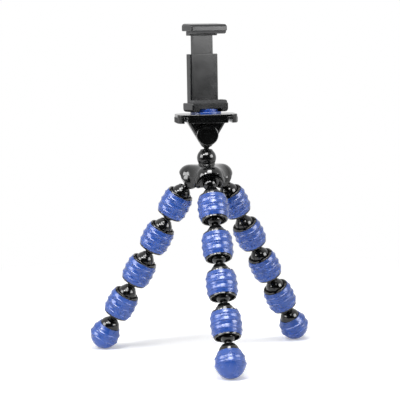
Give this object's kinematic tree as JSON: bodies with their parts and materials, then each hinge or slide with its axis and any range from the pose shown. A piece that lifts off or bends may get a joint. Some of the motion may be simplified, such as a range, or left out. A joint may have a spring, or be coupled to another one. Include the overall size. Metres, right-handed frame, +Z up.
{
  "type": "phone tripod",
  "caption": "Small phone tripod with bendable ball-jointed legs in ribbed rubber sleeves, a ball head with a lock knob, a squeeze-release platform and a sprung phone clamp.",
  "frame": {"origin": "on the floor, on the upright axis of the hub that the three legs spread from", "axes": "+Z is up along the hub, head and clamp; -Y is the side that the phone faces; +X is to the right as seen from that side"},
  "size_m": [0.1991, 0.2031, 0.2999],
  "materials": {
    "gloss_plastic": "polished black moulding",
    "blue_rubber": "soft blue rubber with a satin sheen",
    "black_rubber": "matt serrated pad",
    "head_plastic": "satin black moulding",
    "clamp_plastic": "semi-gloss black moulding",
    "plated_steel": "nickel plated",
    "spring_steel": "drawn wire",
    "brass_insert": "turned"
  },
  "bodies": {
    "hub": {"hub_shell": "gloss_plastic", "hub_cover": "gloss_plastic", "hub_screws": "plated_steel", "front_leg_stud": "gloss_plastic", "right_leg_stud": "gloss_plastic", "left_leg_stud": "gloss_plastic", "head_socket": "gloss_plastic"},
    "front_link_1": {"front_core_1": "gloss_plastic", "front_sleeve_1": "blue_rubber"},
    "front_link_2": {"front_core_2": "gloss_plastic", "front_sleeve_2": "blue_rubber"},
    "front_link_3": {"front_core_3": "gloss_plastic", "front_sleeve_3": "blue_rubber"},
    "front_link_4": {"front_core_4": "gloss_plastic", "front_sleeve_4": "blue_rubber"},
    "front_foot": {"front_foot_core": "gloss_plastic", "front_foot_boot": "blue_rubber"},
    "right_link_1": {"right_core_1": "gloss_plastic", "right_sleeve_1": "blue_rubber"},
    "right_link_2": {"right_core_2": "gloss_plastic", "right_sleeve_2": "blue_rubber"},
    "right_link_3": {"right_core_3": "gloss_plastic", "right_sleeve_3": "blue_rubber"},
    "right_link_4": {"right_core_4": "gloss_plastic", "right_sleeve_4": "blue_rubber"},
    "right_foot": {"right_foot_core": "gloss_plastic", "right_foot_boot": "blue_rubber"},
    "left_link_1": {"left_core_1": "gloss_plastic", "left_sleeve_1": "blue_rubber"},
    "left_link_2": {"left_core_2": "gloss_plastic", "left_sleeve_2": "blue_rubber"},
    "left_link_3": {"left_core_3": "gloss_plastic", "left_sleeve_3": "blue_rubber"},
    "left_link_4": {"left_core_4": "gloss_plastic", "left_sleeve_4": "blue_rubber"},
    "left_foot": {"left_foot_core": "gloss_plastic", "left_foot_boot": "blue_rubber"},
    "head_ball": {"head_ball_stud": "gloss_plastic"},
    "head": {"head_body": "head_plastic", "platform_body": "head_plastic", "camera_screw": "plated_steel", "platform_pad": "blue_rubber", "left_tab_springs": "spring_steel", "right_tab_springs": "spring_steel"},
    "knob": {"lock_knob": "head_plastic", "lock_screw": "plated_steel"},
    "left_tab": {"left_release_tab": "head_plastic"},
    "right_tab": {"right_release_tab": "head_plastic"},
    "clamp": {"clamp_base": "clamp_plastic", "thread_insert": "brass_insert", "lower_jaw_pad": "black_rubber", "back_cover": "clamp_plastic", "back_cover_screws": "plated_steel", "lower_spring_pin": "plated_steel", "jaw_springs": "spring_steel"},
    "jaw": {"upper_jaw": "clamp_plastic", "upper_jaw_pad": "black_rubber", "upper_spring_pin": "plated_steel"}
  },
  "joints": [
    {"name": "front_link_1_lift", "type": "hinge", "parent": "hub", "child": "front_link_1", "pos_m": [-0.00728, -0.02308, 0.14931], "axis": [-0.9537, 0.3007, 0], "range_deg": [-3, 36]},
    {"name": "front_link_2_swing", "type": "hinge", "parent": "front_link_1", "child": "front_link_2", "pos_m": [-0.01283, -0.0407, 0.11795], "axis": [0.2591, 0.8218, -0.5075], "range_deg": [-20, 20]},
    {"name": "front_link_3_lift", "type": "hinge", "parent": "front_link_2", "child": "front_link_3", "pos_m": [-0.01839, -0.05832, 0.08658], "axis": [-0.9537, 0.3007, 0], "range_deg": [-19, 20]},
    {"name": "front_link_4_swing", "type": "hinge", "parent": "front_link_3", "child": "front_link_4", "pos_m": [-0.02394, -0.07594, 0.05522], "axis": [0.2591, 0.8218, -0.5075], "range_deg": [-20, 20]},
    {"name": "front_foot_lift", "type": "hinge", "parent": "front_link_4", "child": "front_foot", "pos_m": [-0.0295, -0.09356, 0.02386], "axis": [-0.9537, 0.3007, 0], "range_deg": [-19, 20]},
    {"name": "right_link_1_lift", "type": "hinge", "parent": "hub", "child": "right_link_1", "pos_m": [0.02363, 0.00524, 0.14931], "axis": [0.2164, -0.9763, 0], "range_deg": [-3, 36]},
    {"name": "right_link_2_swing", "type": "hinge", "parent": "right_link_1", "child": "right_link_2", "pos_m": [0.04166, 0.00924, 0.11795], "axis": [-0.8412, -0.1865, -0.5075], "range_deg": [-20, 20]},
    {"name": "right_link_3_lift", "type": "hinge", "parent": "right_link_2", "child": "right_link_3", "pos_m": [0.0597, 0.01324, 0.08658], "axis": [0.2164, -0.9763, 0], "range_deg": [-19, 20]},
    {"name": "right_link_4_swing", "type": "hinge", "parent": "right_link_3", "child": "right_link_4", "pos_m": [0.07774, 0.01723, 0.05522], "axis": [-0.8412, -0.1865, -0.5075], "range_deg": [-20, 20]},
    {"name": "right_foot_lift", "type": "hinge", "parent": "right_link_4", "child": "right_foot", "pos_m": [0.09577, 0.02123, 0.02386], "axis": [0.2164, -0.9763, 0], "range_deg": [-19, 20]},
    {"name": "left_link_1_lift", "type": "hinge", "parent": "hub", "child": "left_link_1", "pos_m": [-0.01635, 0.01784, 0.14931], "axis": [0.7373, 0.6756, 0], "range_deg": [-3, 36]},
    {"name": "left_link_2_swing", "type": "hinge", "parent": "left_link_1", "child": "left_link_2", "pos_m": [-0.02883, 0.03146, 0.11795], "axis": [0.5821, -0.6353, -0.5075], "range_deg": [-20, 20]},
    {"name": "left_link_3_lift", "type": "hinge", "parent": "left_link_2", "child": "left_link_3", "pos_m": [-0.04131, 0.04508, 0.08658], "axis": [0.7373, 0.6756, 0], "range_deg": [-19, 20]},
    {"name": "left_link_4_swing", "type": "hinge", "parent": "left_link_3", "child": "left_link_4", "pos_m": [-0.05379, 0.0587, 0.05522], "axis": [0.5821, -0.6353, -0.5075], "range_deg": [-20, 20]},
    {"name": "left_foot_lift", "type": "hinge", "parent": "left_link_4", "child": "left_foot", "pos_m": [-0.06627, 0.07233, 0.02386], "axis": [0.7373, 0.6756, 0], "range_deg": [-19, 20]},
    {"name": "head_tilt", "type": "hinge", "parent": "hub", "child": "head_ball", "pos_m": [0, 0, 0.18271], "axis": [0.9455, -0.3256, 0], "range_deg": [-20, 20]},
    {"name": "head_pan", "type": "hinge", "parent": "head_ball", "child": "head", "pos_m": [0, 0, 0.1901], "axis": [0, 0, 1], "continuous": true},
    {"name": "lock_knob_turn", "type": "hinge", "parent": "head", "child": "knob", "pos_m": [0, 0, 0.201], "axis": [-0.3256, -0.9455, 0], "range_deg": [0, 180]},
    {"name": "left_tab_press", "type": "slide", "parent": "head", "child": "left_tab", "axis": [0.9455, -0.3256, 0], "range_m": [0, 0.0016], "stiffness_N_per_m": 400, "springref_m": -0.001, "deforming": ["left_tab_springs"]},
    {"name": "right_tab_press", "type": "slide", "parent": "head", "child": "right_tab", "axis": [-0.9455, 0.3256, 0], "range_m": [0, 0.0016], "stiffness_N_per_m": 400, "springref_m": -0.001, "deforming": ["right_tab_springs"]},
    {"name": "clamp_swivel", "type": "hinge", "parent": "head", "child": "clamp", "pos_m": [0, 0, 0.2193], "axis": [0, 0, 1], "range_deg": [-90, 90]},
    {"name": "jaw_slide", "type": "slide", "parent": "clamp", "child": "jaw", "axis": [0, 0, 1], "range_m": [-0.0046, 0.0134], "deforming": ["jaw_springs"]}
  ]
}
